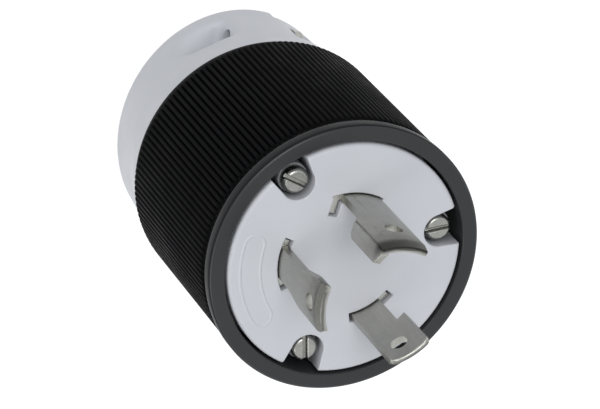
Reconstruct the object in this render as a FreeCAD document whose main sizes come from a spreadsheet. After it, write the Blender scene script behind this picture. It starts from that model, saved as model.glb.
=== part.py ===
import FreeCAD, Part
import os
import re
import Sketcher
from FreeCAD import Placement, Rotation, Vector

# Three-blade locking power plug, standing on its cord end with the blades up.
# Z is the plug's axis, with zero at the flat rear end of the cap.
# Angles are in degrees about Z.

driving_sizes = {
    # heights of the joints between the main mouldings
    "face_height": 69.7,
    "cap_height": 21.6,
    "plate_thickness": 5.0,
    "block_height": 22.2,
    # grip sleeve, with its radii as steps in from the ring
    "ring_radius": 28.5,
    "ring_depth": 2.8,
    "ring_round": 0.7,
    "neck_step": 0.55,
    "neck_depth": 1.9,
    "rib_step": 0.25,
    "rib_depth": 0.4,
    "rib_width": 0.62,
    "rib_count": 140,
    "sleeve_end_step": 1.15,
    "sleeve_end_taper": 1.6,
    "sleeve_wall": 3.3,
    "ledge_reach": 2.0,
    "ledge_depth": 1.8,
    "sleeve_clearance": 0.3,
    # face plate
    "plate_clearance": 0.6,
    "plate_edge": 0.5,
    "notch_room": 0.75,
    "notch_mouth": 4.8,
    "well_depth": 5.0,
    # terminal block
    "block_clearance": 0.5,
    "block_floor": 1.5,
    "pocket_room": 1.5,
    "boss_step": 0.35,
    "boss_height": 1.6,
    # blades, bent to one circle
    "blade_radius": 14.0,
    "blade_thickness": 1.55,
    "blade_reach": 21.4,
    "ground_reach": 24.5,
    "tip_bevel": 0.25,
    "tip_corner": 1.1,
    "lead_length": 2.2,
    "lead_depth": 0.4,
    "neck_below_face": 1.2,
    "step_height": 9.2,
    "ground_step_height": 10.2,
    "narrow_angle": 168.2,
    "narrow_half_angle": 19.3,
    "narrow_neck_angle": 9.8,
    "wide_angle": 48.2,
    "wide_half_angle": 21.8,
    "wide_neck_angle": 13.6,
    "wide_back_angle": 15.6,
    "wide_ramp": 8.0,
    "ground_angle": 311.0,
    "ground_half_angle": 20.5,
    "ground_neck_angle": 14.0,
    "leg_length": 3.9,
    "leg_tilt": 7.0,
    "leg_fall": 2.0,
    "blade_hole_radius": 1.8,
    "blade_hole_drop": 5.1,
    "ground_hole_drop": 8.0,
    "narrow_hole_angle": -2.5,
    "wide_hole_angle": 1.5,
    "ground_hole_angle": -2.2,
    "slot_clearance": 0.22,
    "slot_end_angle": 1.9,
    # wiring terminals
    "terminal_rise": 7.0,
    "plate_side": 9.0,
    "clamp_plate_thickness": 1.6,
    "terminal_shank": 1.95,
    "terminal_head": 3.6,
    "terminal_head_height": 2.3,
    "thread_clearance": 0.05,
    "hole_clearance": 0.3,
    # assembly screws and their inserts
    "screw_inset": 8.0,
    "left_screw_angle": 120.0,
    "right_screw_angle": 240.5,
    "top_screw_angle": 351.5,
    "left_slot_angle": 143.0,
    "right_slot_angle": 56.0,
    "top_slot_angle": 20.0,
    "screw_shank": 1.75,
    "screw_head": 2.75,
    "screw_head_height": 2.4,
    "screw_slot": 0.9,
    "screw_slot_depth": 1.1,
    "insert_wall": 1.1,
    "insert_length": 7.0,
    # rear cap, with its radii as steps in from the ring
    "cap_front_step": 1.3,
    "cap_middle_step": 2.4,
    "cap_middle_stretch": 0.5,
    "cap_middle_height": 15.5,
    "cap_end_step": 4.2,
    "cap_end_stretch": 2.3,
    "cap_round": 1.9,
    "spigot_step": 0.7,
    "spigot_height": 3.9,
    "chamber_wall": 1.1,
    "floor_thickness": 2.0,
    "cord_radius": 12.5,
    # cord clamp across the rear of the cap
    "clamp_angle": 310.0,
    "clamp_height": 14.5,
    "clamp_line": 4.0,
    "clamp_gap": 0.3,
    "clamp_inset": 0.5,
    "clamp_grip": 2.8,
    "clamp_screw_inset": 5.8,
    "clamp_screw_height": 9.4,
    "clamp_screw_reach": 10.0,
    "clamp_head": 2.6,
    "clamp_head_height": 2.2,
    "clamp_head_room": 0.7,
    "scoop_floor": 8.0,
    "scoop_radius": 3.65,
}

blades = {
    "narrow": "narrow_angle",
    "wide": "wide_angle",
    "ground": "ground_angle",
}
screws = ("left", "right", "top")

document = FreeCAD.newDocument("plug")
sheet = document.addObject("Spreadsheet::Sheet", "sizes")
for row, (alias, size) in enumerate(driving_sizes.items(), 1):
    sheet.set(f"A{row}", alias)
    sheet.set(f"B{row}", str(size))
    sheet.setAlias(f"B{row}", alias)
document.recompute()

# Heights and radii that several pieces share, in terms of the sheet.
plate_bottom = "(face_height - plate_thickness)"
block_bottom = f"({plate_bottom} - block_height)"
blade_inner = "(blade_radius - blade_thickness)"
blade_middle = "(blade_radius - blade_thickness / 2)"
blade_bottom = f"({block_bottom} + block_floor)"
neck_bottom = "(face_height - neck_below_face)"
sleeve_bore = "(ring_radius - sleeve_wall)"
plate_radius = f"({sleeve_bore} - plate_clearance)"
block_radius = f"({sleeve_bore} - block_clearance)"
spigot_radius = f"({sleeve_bore} - spigot_step)"
screw_circle = "(ring_radius - screw_inset)"
notch_radius = "(screw_head + notch_room)"
insert_radius = "(screw_shank + thread_clearance + insert_wall)"
chamber_radius = f"({screw_circle} - {insert_radius} - chamber_wall)"
chamber_floor = "(clamp_height + floor_thickness)"
clamp_screw_offset = "(ring_radius - clamp_screw_inset)"
clamp_seat = "(clamp_line + clamp_grip)"
terminal_level = f"({block_bottom} + terminal_rise)"
terminal_top = "(blade_radius + clamp_plate_thickness)"
far = "(ring_radius * 2)"


def bind(text):
    """An expression in which every size is a cell of the sheet."""
    return re.sub(r"\b([a-z]+(?:_[a-z]+)+)\b", r"sizes.\1", text)


def value(text):
    """The present value of an expression."""
    return float(sheet.evalExpression(re.sub(r"\b([a-z]+(?:_[a-z]+)+)\b", r"\1", text)))


def new_body(label):
    body = document.addObject("PartDesign::Body", label)
    body.Label = label
    return body


def origin_part(body, role):
    return [part for part in body.Origin.OriginFeatures if part.Role == role][0]


def new_sketch(body, name, role, turn="0", lift="0"):
    """An empty sketch on an origin plane, turned about Z and lifted along its normal."""
    sketch = body.newObject("Sketcher::SketchObject", name)
    sketch.AttachmentSupport = (origin_part(body, role), "")
    sketch.MapMode = "FlatFace"
    upright = Vector(0, 0, 1) if role == "XY_Plane" else Vector(0, 1, 0)
    if turn != "0":
        sketch.AttachmentOffset = Placement(Vector(0, 0, 0), Rotation(upright, value(turn)))
        sketch.setExpression("AttachmentOffset.Rotation.Angle", bind(turn))
    if lift != "0":
        sketch.setExpression("AttachmentOffset.Base.z", bind(lift))
    return sketch


def pin(sketch, geometry, point, x, y):
    """Holds a point of the sketch at two bound distances from its origin."""
    for kind, text in (("DistanceX", x), ("DistanceY", y)):
        constraint = Sketcher.Constraint(kind, -1, 1, geometry, point, value(text))
        index = sketch.addConstraint(constraint)
        sketch.setExpression(f"Constraints[{index}]", bind(text))


def draw_loop(sketch, points):
    """A closed loop of lines through bound points."""
    places = [Vector(value(x), value(y), 0) for x, y in points]
    first = sketch.GeometryCount
    count = len(points)
    for index in range(count):
        sketch.addGeometry(Part.LineSegment(places[index], places[(index + 1) % count]))
    for index in range(count):
        following = first + (index + 1) % count
        sketch.addConstraint(Sketcher.Constraint("Coincident", first + index, 2, following, 1))
    for index, (x, y) in enumerate(points):
        pin(sketch, first + index, 1, x, y)


def draw_circle(sketch, x, y, radius):
    circle = Part.Circle(Vector(value(x), value(y), 0), Vector(0, 0, 1), value(radius))
    geometry = sketch.addGeometry(circle)
    pin(sketch, geometry, 3, x, y)
    constraint = Sketcher.Constraint("Radius", geometry, value(radius))
    index = sketch.addConstraint(constraint)
    sketch.setExpression(f"Constraints[{index}]", bind(radius))


def revolve(body, sketch, angle="360"):
    """Turns a profile about its own vertical axis, evenly both ways."""
    feature = body.newObject("PartDesign::Revolution", sketch.Name + "_turned")
    feature.Profile = sketch
    feature.ReferenceAxis = (sketch, ["V_Axis"])
    feature.Angle = value(angle)
    feature.Midplane = True
    if angle != "360":
        feature.setExpression("Angle", bind(angle))
    return feature


def groove(body, sketch, angle):
    feature = body.newObject("PartDesign::Groove", sketch.Name + "_cut")
    feature.Profile = sketch
    feature.ReferenceAxis = (sketch, ["V_Axis"])
    feature.Angle = value(angle)
    feature.setExpression("Angle", bind(angle))
    feature.Midplane = True
    return cut_checked(body, feature)


def pad(body, sketch, length, middle=False):
    feature = body.newObject("PartDesign::Pad", sketch.Name + "_pad")
    feature.Profile = sketch
    feature.Length = value(length)
    feature.setExpression("Length", bind(length))
    feature.Midplane = middle
    return feature


def pocket(body, sketch, length, backwards=False):
    """Cuts a sketch away, against its normal or along it."""
    feature = body.newObject("PartDesign::Pocket", sketch.Name + "_cut")
    feature.Profile = sketch
    feature.Length = value(length)
    feature.setExpression("Length", bind(length))
    feature.Reversed = backwards
    return cut_checked(body, feature)


def cut_checked(body, feature):
    """Makes sure that a cut meets the solid: one that points away removes nothing."""
    document.recompute()
    before = feature.BaseFeature.Shape.Volume
    if not feature.Shape.Volume < before - 1e-3:
        raise RuntimeError(f"{feature.Name} of {body.Label} removes nothing")
    return feature


def place(body, turn="0", x="0", y="0", z="0"):
    """Turns a sub-part about Z and sets it at a bound point."""
    body.setExpression("Placement.Base.x", bind(x))
    body.setExpression("Placement.Base.y", bind(y))
    body.setExpression("Placement.Base.z", bind(z))
    body.setExpression("Placement.Rotation.Angle", bind(turn))


def make_face_plate():
    """White disc that closes the front: three blade slots and three screw notches."""
    body = new_body("face_plate")
    disc = new_sketch(body, "disc", "XZ_Plane")
    draw_loop(disc, [
        ("0", plate_bottom),
        (plate_radius, plate_bottom),
        (plate_radius, "face_height - plate_edge"),
        (f"{plate_radius} - plate_edge", "face_height"),
        ("0", "face_height"),
    ])
    revolve(body, disc)
    cut_blade_slots(body, "plate", f"{plate_bottom} - 1", "face_height + 1")
    cut_screw_notches(body, "plate", f"{plate_bottom} - 1", "face_height + 1")
    return body


def cut_screw_notches(body, name, low, high):
    """Three notches open to the rim, round at the screw, between two heights."""
    for screw in screws:
        turn = f"{screw}_screw_angle"
        well = new_sketch(body, f"{name}_well_{screw}", "XY_Plane", turn, high)
        draw_circle(well, screw_circle, "0", notch_radius)
        pocket(body, well, f"({high}) - ({low})")
        mouth = new_sketch(body, f"{name}_mouth_{screw}", "XY_Plane", turn, high)
        draw_loop(mouth, [
            (screw_circle, f"-{notch_radius}"),
            ("ring_radius", "-notch_mouth"),
            ("ring_radius", "notch_mouth"),
            (screw_circle, notch_radius),
        ])
        pocket(body, mouth, f"({high}) - ({low})")


def cut_blade_slots(body, name, low, high):
    """The three curved slots between two heights, with the ground blade's leg slot."""
    inner = f"{blade_inner} - slot_clearance"
    outer = "blade_radius + slot_clearance"
    for blade, angle in blades.items():
        section = new_sketch(body, f"{name}_slot_{blade}", "XZ_Plane", angle)
        draw_loop(section, [(inner, low), (outer, low), (outer, high), (inner, high)])
        groove(body, section, f"2 * ({blade}_half_angle + slot_end_angle)")
    leg = new_sketch(body, f"{name}_leg_slot", "XY_Plane", "ground_angle", high)
    draw_loop(leg, leg_outline("slot_clearance"))
    pocket(body, leg, f"({high}) - ({low})")


def leg_outline(clearance="0"):
    """Plan of the leg bent in from the ground blade's end, in the blade's own frame.

    It runs inwards from the outer corner, tilted a little from the blade's middle radius.
    """
    corner_x = "blade_radius * cos(ground_half_angle)"
    corner_y = "blade_radius * sin(ground_half_angle)"

    def step(along, across):
        """A point that lies along the leg and across it from the outer corner."""
        x = f"{corner_x} - ({along}) * cos(leg_tilt) - ({across}) * sin(leg_tilt)"
        y = f"{corner_y} + ({along}) * sin(leg_tilt) - ({across}) * cos(leg_tilt)"
        return x, y

    # the root is drawn back into the curved strip, so that the two are one piece
    root = "blade_thickness / 3" if clearance == "0" else f"-{clearance}"
    tip = f"leg_length + {clearance}"
    outside = f"-{clearance}"
    inside = f"blade_thickness + {clearance}"
    return [step(root, outside), step(tip, outside), step(tip, inside), step(root, inside)]


def make_terminal_block():
    """White inner moulding: holds the blades and has a wiring pocket behind each."""
    body = new_body("terminal_block")
    disc = new_sketch(body, "disc", "XZ_Plane")
    draw_loop(disc, [
        ("0", block_bottom),
        (block_radius, block_bottom),
        (block_radius, plate_bottom),
        ("0", plate_bottom),
    ])
    revolve(body, disc)
    cut_screw_notches(body, "block", f"{plate_bottom} - well_depth", f"{plate_bottom} + 1")
    bosses = new_sketch(body, "bosses", "XY_Plane", lift=f"{plate_bottom} - well_depth")
    for name in screws:
        draw_circle(bosses, *screw_place(name), "screw_head + boss_step")
    pad(body, bosses, "well_depth + boss_height")
    cut_blade_slots(body, "block", blade_bottom, f"{plate_bottom} + boss_height")
    holes = new_sketch(body, "screw_holes", "XY_Plane", lift=f"{plate_bottom} + boss_height")
    for name in screws:
        draw_circle(holes, *screw_place(name), "screw_shank + hole_clearance")
    pocket(body, holes, "block_height + boss_height")
    for blade, angle in blades.items():
        room = new_sketch(body, f"pocket_{blade}", "XY_Plane", angle, block_bottom)
        side = "(plate_side / 2 + pocket_room)"
        draw_loop(room, [
            (blade_middle, f"-{side}"),
            ("ring_radius", f"-{side}"),
            ("ring_radius", side),
            (blade_middle, side),
        ])
        pocket(body, room, f"terminal_rise + {side}", backwards=True)
        relief = new_sketch(body, f"relief_{blade}", "YZ_Plane", angle)
        draw_circle(relief, "0", terminal_level, "terminal_shank + hole_clearance")
        pocket(body, relief, "blade_radius", backwards=True)
    return body


def screw_place(name):
    """Where an assembly screw stands on its circle."""
    angle = f"{name}_screw_angle"
    return f"{screw_circle} * cos({angle})", f"{screw_circle} * sin({angle})"


def blade_strip(label, half_angle, reach):
    """The curved strip of a blade, with the long lead-in outside its tip and small bevels."""
    body = new_body(label)
    section = new_sketch(body, f"{label}_section", "XZ_Plane")
    top = f"face_height + {reach}"
    draw_loop(section, [
        (blade_inner, blade_bottom),
        ("blade_radius", blade_bottom),
        ("blade_radius", f"{top} - lead_length"),
        ("blade_radius - lead_depth", f"{top} - tip_bevel"),
        ("blade_radius - lead_depth - tip_bevel", top),
        (f"{blade_inner} + tip_bevel", top),
        (blade_inner, f"{top} - tip_bevel"),
    ])
    revolve(body, section, f"2 * {half_angle}")
    return body


def blade_holes(sketch, angle, height):
    """The hole near a blade's tip, a little off its middle, and the one for its terminal."""
    draw_circle(sketch, f"{blade_middle} * sin({angle})", height, "blade_hole_radius")
    draw_circle(sketch, "0", terminal_level, "terminal_shank + thread_clearance")


def tip_trim(sketch, half_angle, reach, side):
    """Takes off one upper corner of a blade: side is 1 or -1."""
    edge = f"{side} * {blade_middle} * sin({half_angle})"
    top = f"face_height + {reach}"
    draw_loop(sketch, [
        (f"{edge} - {side} * tip_corner", f"{top} + 1"),
        (f"{edge} - {side} * tip_corner", top),
        (f"{edge} - {side} * tip_corner * 0.35", f"{top} - tip_corner * 0.35"),
        (edge, f"{top} - tip_corner"),
        (f"{edge} + {side} * tip_corner", f"{top} - tip_corner"),
        (f"{edge} + {side} * tip_corner", f"{top} + 1"),
    ])


def make_narrow_blade():
    """Line blade: full width at the tip, with a square step cut in one edge above the face."""
    body = blade_strip("blade_narrow", "narrow_half_angle", "blade_reach")
    trims = new_sketch(body, "narrow_trims", "YZ_Plane")
    neck = f"{blade_middle} * sin(narrow_neck_angle)"
    draw_loop(trims, [
        (neck, neck_bottom),
        ("blade_radius", neck_bottom),
        ("blade_radius", "face_height + step_height"),
        (neck, "face_height + step_height"),
    ])
    blade_holes(trims, "narrow_hole_angle", "face_height + blade_reach - blade_hole_drop")
    tip_trim(trims, "narrow_half_angle", "blade_reach", -1)
    tip_trim(trims, "narrow_half_angle", "blade_reach", 1)
    pocket(body, trims, "blade_radius + 1", backwards=True)
    return body


def make_wide_blade():
    """Neutral blade: the widest, stepped in one edge and ramped in the other."""
    body = blade_strip("blade_wide", "wide_half_angle", "blade_reach")
    trims = new_sketch(body, "wide_trims", "YZ_Plane")
    neck = f"{blade_middle} * sin(wide_neck_angle)"
    back = f"-{blade_middle} * sin(wide_back_angle)"
    edge = f"{blade_middle} * sin(wide_half_angle)"
    step = "face_height + step_height"
    draw_loop(trims, [
        (neck, neck_bottom),
        ("blade_radius", neck_bottom),
        ("blade_radius", step),
        (edge, step),
        (neck, f"{step} - wide_ramp / 2"),
    ])
    draw_loop(trims, [
        (back, neck_bottom),
        ("-blade_radius", neck_bottom),
        ("-blade_radius", f"{step} + wide_ramp"),
        (f"-{edge}", f"{step} + wide_ramp"),
        (back, f"{step} + wide_ramp / 8"),
    ])
    blade_holes(trims, "wide_hole_angle", "face_height + blade_reach - blade_hole_drop")
    tip_trim(trims, "wide_half_angle", "blade_reach", -1)
    tip_trim(trims, "wide_half_angle", "blade_reach", 1)
    pocket(body, trims, "blade_radius + 1", backwards=True)
    return body


def make_ground_blade():
    """Ground blade: the longest, with a leg bent in from its stepped edge."""
    body = blade_strip("blade_ground", "ground_half_angle", "ground_reach")
    leg = new_sketch(body, "leg", "XY_Plane", lift=blade_bottom)
    draw_loop(leg, leg_outline())
    pad(body, leg, f"face_height + ground_reach - {blade_bottom}")
    trims = new_sketch(body, "ground_trims", "YZ_Plane")
    neck = f"{blade_middle} * sin(ground_neck_angle)"
    step = "face_height + ground_step_height"
    draw_loop(trims, [
        (neck, neck_bottom),
        ("blade_radius", neck_bottom),
        ("blade_radius", step),
        (neck, step),
    ])
    blade_holes(trims, "ground_hole_angle", "face_height + ground_reach - ground_hole_drop")
    pocket(body, trims, "blade_radius + 1", backwards=True)
    corners = new_sketch(body, "leg_corners", "XZ_Plane")
    inner = "(blade_radius * cos(ground_half_angle) - leg_length)"
    bend = f"({blade_inner} * cos(ground_half_angle))"
    top = "face_height + ground_reach"
    draw_loop(corners, [
        (f"{inner} - 1", f"{step} - 1"),
        (f"{inner} + tip_corner", f"{step} - 1"),
        (f"{inner} + tip_corner", step),
        (inner, f"{step} + tip_corner"),
        (f"{inner} - 1", f"{step} + tip_corner"),
    ])
    draw_loop(corners, [
        (f"{inner} - 1", f"{top} - leg_fall"),
        (inner, f"{top} - leg_fall"),
        (bend, top),
        (bend, f"{top} + 1"),
        (f"{inner} - 1", f"{top} + 1"),
    ])
    pocket(body, corners, "blade_radius")
    return body


def make_screw(label, head, head_height, shank, length, plane="XZ_Plane"):
    """A slotted cheese-head screw along the sketch's vertical axis, seated at zero."""
    body = new_body(label)
    profile = new_sketch(body, f"{label}_profile", plane)
    draw_loop(profile, [
        ("0", f"-{length}"),
        (f"{shank} * 0.7", f"-{length}"),
        (shank, f"-{length} + {shank} * 0.3"),
        (shank, "0"),
        (head, "0"),
        (head, f"{head_height} * 0.72"),
        (f"{head} * 0.8", head_height),
        ("0", head_height),
    ])
    revolve(body, profile)
    slot = new_sketch(body, f"{label}_slot", plane)
    draw_loop(slot, [
        ("-screw_slot / 2", f"{head_height} - screw_slot_depth"),
        ("screw_slot / 2", f"{head_height} - screw_slot_depth"),
        ("screw_slot / 2", f"{head_height} + 1"),
        ("-screw_slot / 2", f"{head_height} + 1"),
    ])
    cut = pocket(body, slot, f"4 * {head}")
    cut.Midplane = True
    return body


def make_terminal(blade):
    """Clamp plate and screw that hold a wire against the tail of one blade."""
    angle = blades[blade]
    plate = new_body(f"clamp_plate_{blade}")
    square = new_sketch(plate, f"square_{blade}", "YZ_Plane", lift="blade_radius")
    side = "plate_side / 2"
    draw_loop(square, [
        (f"-{side}", f"-{side}"),
        (side, f"-{side}"),
        (side, side),
        (f"-{side}", side),
    ])
    draw_circle(square, "0", "0", "terminal_shank + hole_clearance")
    pad(plate, square, "clamp_plate_thickness")
    place(plate, angle, z=terminal_level)

    length = f"({terminal_top} - {blade_inner} + 1)"
    screw = new_body(f"terminal_screw_{blade}")
    profile = new_sketch(screw, f"screw_{blade}_profile", "XY_Plane")
    head_top = f"{terminal_top} + terminal_head_height"
    draw_loop(profile, [
        (f"{terminal_top} - {length}", "0"),
        (f"{terminal_top} - {length}", "terminal_shank"),
        (terminal_top, "terminal_shank"),
        (terminal_top, "terminal_head"),
        (f"{head_top} - terminal_head_height * 0.3", "terminal_head"),
        (head_top, "terminal_head * 0.8"),
        (head_top, "0"),
    ])
    turned = revolve(screw, profile)
    turned.ReferenceAxis = (profile, ["H_Axis"])
    slot = new_sketch(screw, f"screw_{blade}_slot", "XY_Plane")
    draw_loop(slot, [
        (f"{head_top} - screw_slot_depth", "-screw_slot / 2"),
        (f"{head_top} + 1", "-screw_slot / 2"),
        (f"{head_top} + 1", "screw_slot / 2"),
        (f"{head_top} - screw_slot_depth", "screw_slot / 2"),
    ])
    cut = pocket(screw, slot, "4 * terminal_head")
    cut.Midplane = True
    place(screw, angle, z=terminal_level)
    return [plate, screw]


def make_grip_sleeve():
    """Black sleeve: a smooth ring at the front and fine straight ribs down to the cap."""
    body = new_body("grip_sleeve")
    ring_bottom = "(face_height - ring_depth)"
    neck_end = f"({ring_bottom} - neck_depth)"
    crest = "(ring_radius - rib_step)"
    root = f"({crest} - rib_depth)"
    neck = "(ring_radius - neck_step)"
    ledge = f"({sleeve_bore} - ledge_reach)"
    spigot = f"({spigot_radius} + sleeve_clearance)"
    section = new_sketch(body, "sleeve_section", "XZ_Plane")
    draw_loop(section, [
        (spigot, "cap_height"),
        ("ring_radius - sleeve_end_step", "cap_height"),
        (root, "cap_height + sleeve_end_taper"),
        (root, neck_end),
        (neck, f"{neck_end} + neck_depth * 0.1"),
        (neck, f"{ring_bottom} - neck_depth * 0.1"),
        ("ring_radius", ring_bottom),
        ("ring_radius", "face_height - ring_round"),
        ("ring_radius - ring_round * 0.3", "face_height - ring_round * 0.3"),
        ("ring_radius - ring_round", "face_height"),
        (f"{sleeve_bore} + ring_round * 0.7", "face_height"),
        (sleeve_bore, "face_height - ring_round * 0.7"),
        (sleeve_bore, block_bottom),
        (ledge, block_bottom),
        (ledge, f"{block_bottom} - ledge_depth"),
        (spigot, f"{block_bottom} - ledge_depth - ledge_reach"),
    ])
    revolve(body, section)
    rib = new_sketch(body, "rib", "XZ_Plane")
    inside = f"{root} - rib_depth"
    draw_loop(rib, [
        (inside, "cap_height + sleeve_end_taper"),
        (root, "cap_height + sleeve_end_taper"),
        (crest, "cap_height + 2 * sleeve_end_taper"),
        (crest, f"{neck_end} - rib_depth"),
        (root, neck_end),
        (inside, neck_end),
    ])
    first = pad(body, rib, "rib_width", middle=True)
    document.recompute()
    ribs = body.newObject("PartDesign::PolarPattern", "ribs")
    ribs.Originals = [first]
    ribs.Axis = (origin_part(body, "Z_Axis"), [""])
    ribs.Angle = 360
    ribs.Occurrences = int(value("rib_count"))
    ribs.setExpression("Occurrences", bind("rib_count"))
    body.Tip = ribs
    return body


def solid(kind, name, **expressions):
    """A Part primitive whose properties are bound to the sheet."""
    item = document.addObject(f"Part::{kind}", name)
    for path, text in expressions.items():
        item.setExpression(path.replace("__", "."), bind(text))
    return item


def cylinder_up(name, radius, low, high, x="0", y="0"):
    return solid(
        "Cylinder", name, Radius=radius, Height=f"({high}) - ({low})",
        Placement__Base__x=x, Placement__Base__y=y, Placement__Base__z=low,
    )


def cylinder_across(name, radius, low, high, x, z):
    """A cylinder along Y between two distances, at one place in X and Z."""
    item = solid(
        "Cylinder", name, Radius=radius, Height=f"({high}) - ({low})",
        Placement__Base__x=x, Placement__Base__y=low, Placement__Base__z=z,
    )
    item.Placement = Placement(Vector(0, 0, 0), Rotation(Vector(1, 0, 0), -90))
    return item


def box(name, x, y, z):
    """A box from three pairs of bound corners."""
    return solid(
        "Box", name, Length=f"({x[1]}) - ({x[0]})", Width=f"({y[1]}) - ({y[0]})",
        Height=f"({z[1]}) - ({z[0]})",
        Placement__Base__x=x[0], Placement__Base__y=y[0], Placement__Base__z=z[0],
    )


def oval_loft(name, inset="0"):
    """The cap's outside: an oval with a rounded rear edge that turns into a circle.

    The first three levels are the start, middle and end of the round's arc.
    """
    end = "ring_radius - cap_end_step"
    levels = (
        ("rear", f"{end} - cap_round", "cap_end_stretch", "0"),
        ("arc", f"{end} - cap_round * (1 - sin(45))", "cap_end_stretch",
         "cap_round * (1 - sin(45))"),
        ("end", end, "cap_end_stretch", "cap_round"),
        ("middle", "ring_radius - cap_middle_step", "cap_middle_stretch", "cap_middle_height"),
        ("front", "ring_radius - cap_front_step", "0", "cap_height"),
    )
    sections = []
    for level, radius, stretch, height in levels:
        sections.append(solid(
            "Ellipse", f"{name}_{level}",
            MajorRadius=f"{radius} + {stretch} - {inset}", MinorRadius=f"{radius} - {inset}",
            Placement__Base__z=height,
        ))
    loft = document.addObject("Part::Loft", name)
    loft.Sections = sections
    loft.Solid = True
    loft.Ruled = True
    return loft


def join(kind, name, base, tools):
    """Fuses or cuts a list of tools with a base."""
    group = document.addObject("Part::MultiFuse", f"{name}_tools")
    group.Shapes = tools
    result = document.addObject(f"Part::{kind}", name)
    result.Base = base
    result.Tool = group
    return result


def across(name, offset):
    """Where an assembly screw stands in the cap's own frame, which turns with the clamp."""
    angle = f"({name}_screw_angle - clamp_angle)"
    return f"{offset} * cos({angle})", f"{offset} * sin({angle})"


def make_rear_cap():
    """White rear housing: wiring chamber, cord hole and the fixed half of the cord clamp."""
    spigot = cylinder_up("cap_spigot", spigot_radius, "cap_height - 1",
                         "cap_height + spigot_height")
    blank = document.addObject("Part::Fuse", "cap_blank")
    blank.Base = oval_loft("cap_loft")
    blank.Tool = spigot
    top = "cap_height + spigot_height"
    tools = [
        cylinder_up("cap_chamber", chamber_radius, chamber_floor, f"{top} + 1"),
        cylinder_up("cap_cord_hole", "cord_radius", "-1", f"{chamber_floor} + 1"),
        box("cap_clamp_room", (f"-{far}", far), (f"-{far}", "-clamp_line"), ("-1", "clamp_height")),
    ]
    for name in screws:
        x, y = across(name, screw_circle)
        tools.append(cylinder_up(f"cap_insert_{name}", insert_radius,
                                 f"{top} - insert_length", f"{top} + 1", x, y))
        tools.append(cylinder_up(f"cap_tip_{name}", "screw_shank + hole_clearance",
                                 f"{top} - insert_length - 1.5", top, x, y))
    for side, sign in (("a", ""), ("b", "-")):
        place_x = f"{sign}{clamp_screw_offset}"
        tools.append(cylinder_across(f"cap_thread_{side}", "screw_shank + thread_clearance",
                                     f"-{far}", "scoop_floor + 1", place_x, "clamp_screw_height"))
        tools.append(cylinder_across(f"cap_scoop_{side}", "scoop_radius",
                                     "scoop_floor", far, place_x, "clamp_screw_height"))
    cap = join("Cut", "rear_cap", blank, tools)
    place(cap, "clamp_angle")
    return cap


def make_cord_clamp():
    """White saddle that closes the cap's clamp side and grips the cord."""
    keep = box("clamp_half", (f"-{far}", far), (f"-{far}", "-clamp_line"),
               ("clamp_gap", "clamp_height - clamp_gap"))
    half = document.addObject("Part::Common", "clamp_block")
    half.Base = oval_loft("clamp_loft", "clamp_inset")
    half.Tool = keep
    tools = [cylinder_up("clamp_cord_hole", "cord_radius", "-1", "cap_height")]
    for side, sign in (("a", ""), ("b", "-")):
        place_x = f"{sign}{clamp_screw_offset}"
        tools.append(cylinder_across(f"clamp_hole_{side}", "screw_shank + hole_clearance",
                                     f"-{clamp_seat} - 1", "0", place_x, "clamp_screw_height"))
        tools.append(cylinder_across(f"clamp_scoop_{side}", "clamp_head + clamp_head_room",
                                     f"-{far}", f"-{clamp_seat}", place_x, "clamp_screw_height"))
    clamp = join("Cut", "cord_clamp", half, tools)
    place(clamp, "clamp_angle")
    return clamp


def make_clamp_screws():
    """Two cross screws that draw the saddle to the cap, with their heads in its scoops."""
    parts = []
    for side, sign in (("a", ""), ("b", "-")):
        x = f"{sign}{clamp_screw_offset} * cos(clamp_angle) + {clamp_seat} * sin(clamp_angle)"
        y = f"{sign}{clamp_screw_offset} * sin(clamp_angle) - {clamp_seat} * cos(clamp_angle)"
        screw = make_screw(f"clamp_screw_{side}", "clamp_head", "clamp_head_height",
                           "screw_shank", "(clamp_grip + clamp_screw_reach)", "XY_Plane")
        place(screw, "clamp_angle + 180", x, y, "clamp_screw_height")
        parts.append(screw)
    return parts


def make_assembly_fixings():
    """Three long screws from the face to threaded inserts moulded in the cap."""
    parts = []
    seat = f"{plate_bottom} + boss_height"
    top = "(cap_height + spigot_height)"
    length = f"({seat} - {top} + insert_length + 0.5)"
    for name in screws:
        x, y = screw_place(name)
        screw = make_screw(f"assembly_screw_{name}", "screw_head", "screw_head_height",
                           "screw_shank", length)
        place(screw, f"{name}_slot_angle + 90", x, y, seat)
        insert = new_body(f"threaded_insert_{name}")
        plan = new_sketch(insert, f"insert_{name}_plan", "XY_Plane",
                          lift=f"{top} - insert_length")
        draw_circle(plan, "0", "0", insert_radius)
        draw_circle(plan, "0", "0", "screw_shank + thread_clearance")
        pad(insert, plan, "insert_length")
        place(insert, f"{name}_screw_angle", x, y)
        parts += [screw, insert]
    return parts


parts = [
    make_face_plate(),
    make_terminal_block(),
    make_narrow_blade(),
    make_wide_blade(),
    make_ground_blade(),
    make_grip_sleeve(),
    make_rear_cap(),
    make_cord_clamp(),
]
place(parts[2], "narrow_angle")
place(parts[3], "wide_angle")
place(parts[4], "ground_angle")
for blade in blades:
    parts += make_terminal(blade)
parts += make_clamp_screws()
parts += make_assembly_fixings()
document.recompute()

for item in document.Objects:
    if "Invalid" in item.State or "Error" in item.State:
        raise RuntimeError(f"{item.Name} failed: {item.State}")

os.makedirs("parts", exist_ok=True)
for part in parts:
    shape = part.Shape
    if shape.isNull() or not shape.isValid() or len(shape.Solids) != 1:
        raise RuntimeError(f"{part.Label} is not one sound solid: {len(shape.Solids)}")
    shape.exportStep(f"parts/{part.Label}.step")
    print(part.Label, round(shape.Volume, 1))
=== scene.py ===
import math

import bmesh
import bpy
import numpy as np
from mathutils import Matrix, Vector


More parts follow.
